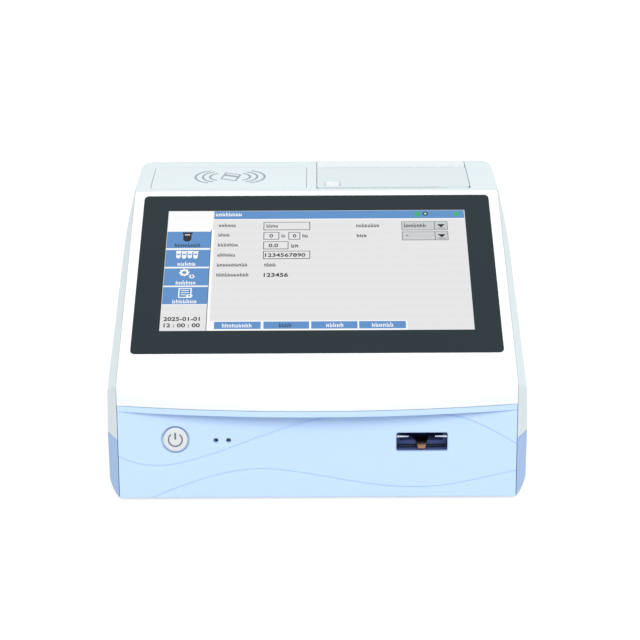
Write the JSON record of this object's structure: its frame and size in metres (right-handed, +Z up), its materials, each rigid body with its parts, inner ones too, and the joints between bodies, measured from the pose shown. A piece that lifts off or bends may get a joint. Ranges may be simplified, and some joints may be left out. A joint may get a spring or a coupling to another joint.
{
  "type": "fluorescence immunoassay analyzer",
  "caption": "Bench analyzer with a sloped touch screen, a test card slot in a leaning front, a power button, a card reader pad and a label printer under a hinged lid.",
  "frame": {"origin": "on the bench under the middle of the case, at the underside of the rubber feet", "axes": "+X the viewer's right, -Y towards the viewer (the front face), +Z up"},
  "size_m": [0.2028, 0.1984, 0.1123],
  "materials": {
    "white_shell": "white, satin gloss",
    "mint_shell": "pale mint white, fine spark-eroded grain",
    "blue_shell": "light blue, fine grain",
    "tray_shell": "deeper blue, fine grain",
    "button_plastic": "light grey, smooth",
    "dark_plastic": "near black",
    "screen_glass": "dark printed cover glass, treated as opaque",
    "display": "grey display panel",
    "steel": "zinc plated steel",
    "polished_steel": "ground and polished",
    "copper_alloy": "copper alloy spring sheet",
    "brass": "turned brass",
    "board": "green solder mask",
    "rubber": "black rubber",
    "paper": "thermal paper",
    "card_tube": "wound paper tube",
    "optic": "coated lens glass",
    "led": "clear moulded light guide",
    "aluminium": "black anodised aluminium"
  },
  "bodies": {
    "case": {"base_tray": "tray_shell", "upper_housing": "mint_shell", "screen_bezel": "white_shell", "front_panel": "blue_shell", "button_ring": "blue_shell", "power_switch": "dark_plastic", "front_board": "board", "status_leds": "led", "slot_shroud": "dark_plastic", "touch_glass": "screen_glass", "lcd_panel": "display", "lcd_bracket": "steel", "display_screws": "steel", "rfid_pad": "mint_shell", "rfid_board": "board", "rubber_feet": "rubber", "case_screws": "steel", "board_standoffs": "brass", "main_board": "board", "board_screws": "steel", "dc_jack": "dark_plastic", "usb_ports": "polished_steel", "lan_port": "polished_steel", "serial_port": "polished_steel", "buzzer": "dark_plastic", "scanner_chassis": "steel", "chassis_screws": "steel", "chassis_posts": "blue_shell", "guide_rods": "polished_steel", "stepper_motor": "steel", "head_bridge": "steel", "optical_head": "aluminium", "objective_lens": "optic", "emission_filter": "optic", "excitation_led": "led", "detector_board": "board", "home_sensor": "dark_plastic", "printer_frame": "white_shell", "hinge_pins": "polished_steel", "printer_motor": "steel", "thermal_head": "aluminium", "tear_bar": "steel", "roll_spindle": "dark_plastic"},
    "button": {"power_button": "button_plastic", "switch_plunger": "dark_plastic"},
    "carriage": {"card_carriage": "dark_plastic", "lead_nut": "brass", "card_clip": "copper_alloy"},
    "screw": {"lead_screw": "polished_steel"},
    "cover": {"printer_cover": "mint_shell"},
    "latch": {"cover_latch": "white_shell"},
    "platen": {"platen_roller": "rubber", "platen_shaft": "polished_steel", "platen_gear": "dark_plastic"},
    "pinion": {"motor_pinion": "brass"},
    "roll": {"paper_roll": "paper", "roll_core": "card_tube"}
  },
  "joints": [
    {"name": "power_button_press", "type": "slide", "parent": "case", "child": "button", "axis": [0, 0.9882, -0.153], "range_m": [0, 0.0012], "stiffness_N_per_m": 800},
    {"name": "carriage_slide", "type": "slide", "parent": "case", "child": "carriage", "axis": [0, 1, 0], "range_m": [0, 0.045]},
    {"name": "lead_screw_turn", "type": "hinge", "parent": "case", "child": "screw", "pos_m": [0.05, -0.08694, 0.02028], "axis": [0, 1, 0], "range_deg": [-360, 4410]},
    {"name": "cover_hinge", "type": "hinge", "parent": "case", "child": "cover", "pos_m": [0.04, 0.07539, 0.1073], "axis": [-1, 0, 0], "range_deg": [0, 80]},
    {"name": "latch_slide", "type": "slide", "parent": "cover", "child": "latch", "axis": [0, 1, 0], "range_m": [0, 0.002], "stiffness_N_per_m": 200},
    {"name": "platen_turn", "type": "hinge", "parent": "cover", "child": "platen", "pos_m": [0.04, 0.04879, 0.1048], "axis": [1, 0, 0], "continuous": true},
    {"name": "pinion_turn", "type": "hinge", "parent": "case", "child": "pinion", "pos_m": [0.0693, 0.04879, 0.09735], "axis": [1, 0, 0], "continuous": true},
    {"name": "paper_roll_turn", "type": "hinge", "parent": "case", "child": "roll", "pos_m": [0.0343, 0.06629, 0.08711], "axis": [1, 0, 0], "continuous": true}
  ],
  "couplings": [
    {"joint": "lead_screw_turn", "follows": "carriage_slide", "rad_per_m": 1570.8},
    {"joint": "pinion_turn", "follows": "platen_turn", "ratio": -1.25}
  ]
}
